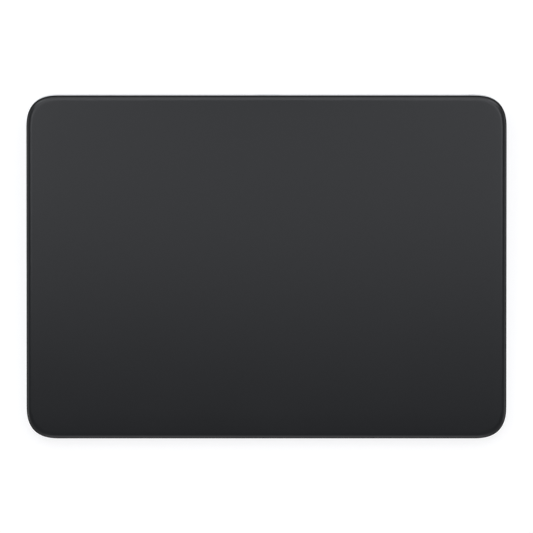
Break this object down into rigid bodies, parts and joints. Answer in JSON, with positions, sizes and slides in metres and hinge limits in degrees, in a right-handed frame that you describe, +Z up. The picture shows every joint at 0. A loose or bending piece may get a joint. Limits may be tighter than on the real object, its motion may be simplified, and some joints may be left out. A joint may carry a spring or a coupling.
{
  "type": "trackpad",
  "caption": "Wireless desk trackpad: a sloping black glass plate on force-sensing blades over an aluminium wedge case, with a charging socket and a slide switch at the rear.",
  "frame": {"origin": "on the desk, at the level of the feet's soles, under the middle of the object's box", "axes": "+X to the user's right along the long side, +Y to the raised rear edge, +Z up from the desk"},
  "size_m": [0.16, 0.1148, 0.0108],
  "materials": {
    "black_glass": "etched satin",
    "silver_aluminium": "fine bead-blasted and anodised",
    "foot_rubber": "matt",
    "spring_steel": "rolled",
    "stiffener_metal": "rolled",
    "screw_steel": "zinc plated",
    "core_steel": "nickel plated",
    "sheet_steel": "bright rolled",
    "gel": "translucent, tacky",
    "glue": "matt film",
    "black_board": "solder mask",
    "chip_plastic": "moulded",
    "connector_plastic": "moulded",
    "flat_cable": "polyimide film",
    "gold_contact": "gold plated",
    "gasket_rubber": "matt",
    "pouch_foil": "foil pouch",
    "nickel_tab": "rolled",
    "red_lead": "insulation",
    "copper_winding": "enamelled copper wire",
    "black_cable": "insulation",
    "green_paint": "green film"
  },
  "bodies": {
    "base": {"bottom_case": "silver_aluminium", "foot_front_left": "foot_rubber", "foot_front_right": "foot_rubber", "foot_rear_left": "foot_rubber", "foot_rear_right": "foot_rubber", "blade_front_left": "spring_steel", "blade_front_right": "spring_steel", "blade_rear_left": "spring_steel", "blade_rear_right": "spring_steel", "blade_screws": "screw_steel", "strain_gauges": "flat_cable", "gauge_flex": "flat_cable", "port_shell": "sheet_steel", "port_tongue": "chip_plastic", "port_contacts": "gold_contact", "port_gasket": "gasket_rubber", "port_board": "black_board", "port_clamp": "sheet_steel", "port_screws": "screw_steel", "port_flex": "flat_cable", "switch_housing": "chip_plastic", "switch_board": "black_board", "switch_screws": "screw_steel", "switch_flex": "flat_cable", "battery_cell_left": "pouch_foil", "battery_cell_right": "pouch_foil", "cell_adhesive": "glue", "battery_board": "black_board", "battery_chips": "chip_plastic", "battery_tabs": "nickel_tab", "battery_leads": "red_lead", "logic_board": "black_board", "logic_shield": "sheet_steel", "logic_chips": "chip_plastic", "logic_connectors": "connector_plastic", "logic_screws": "screw_steel", "touch_flex": "flat_cable", "actuator_bracket": "sheet_steel", "actuator_core": "core_steel", "actuator_coils": "copper_winding", "actuator_screws": "screw_steel", "coil_leads": "copper_winding", "antenna_board": "black_board", "antenna_track": "gold_contact", "antenna_cable": "black_cable"},
    "force_carriage": {"tip_plates": "spring_steel", "gel_pads": "gel", "tip_screws": "screw_steel"},
    "touch_pad": {"touch_glass": "black_glass", "glass_adhesive": "glue", "sensor_board": "black_board", "sensor_chips": "chip_plastic", "stiffener_plate": "stiffener_metal", "armature": "core_steel", "armature_screws": "screw_steel"},
    "power_switch": {"switch_knob": "silver_aluminium", "switch_lever": "chip_plastic", "switch_indicator": "green_paint"}
  },
  "joints": [
    {"name": "pad_press", "type": "slide", "parent": "base", "child": "force_carriage", "axis": [0, 0.0524, -0.9986], "range_m": [0, 0.0002], "stiffness_N_per_m": 10000, "springref_m": -0.0002, "deforming": ["blade_front_left", "blade_front_right", "blade_rear_left", "blade_rear_right", "touch_flex"]},
    {"name": "haptic_shake", "type": "slide", "parent": "force_carriage", "child": "touch_pad", "axis": [1, 0, 0], "range_m": [-0.0001, 0.0001], "stiffness_N_per_m": 20000},
    {"name": "switch_slide", "type": "slide", "parent": "base", "child": "power_switch", "axis": [-1, 0, 0], "range_m": [0, 0.0023]}
  ]
}
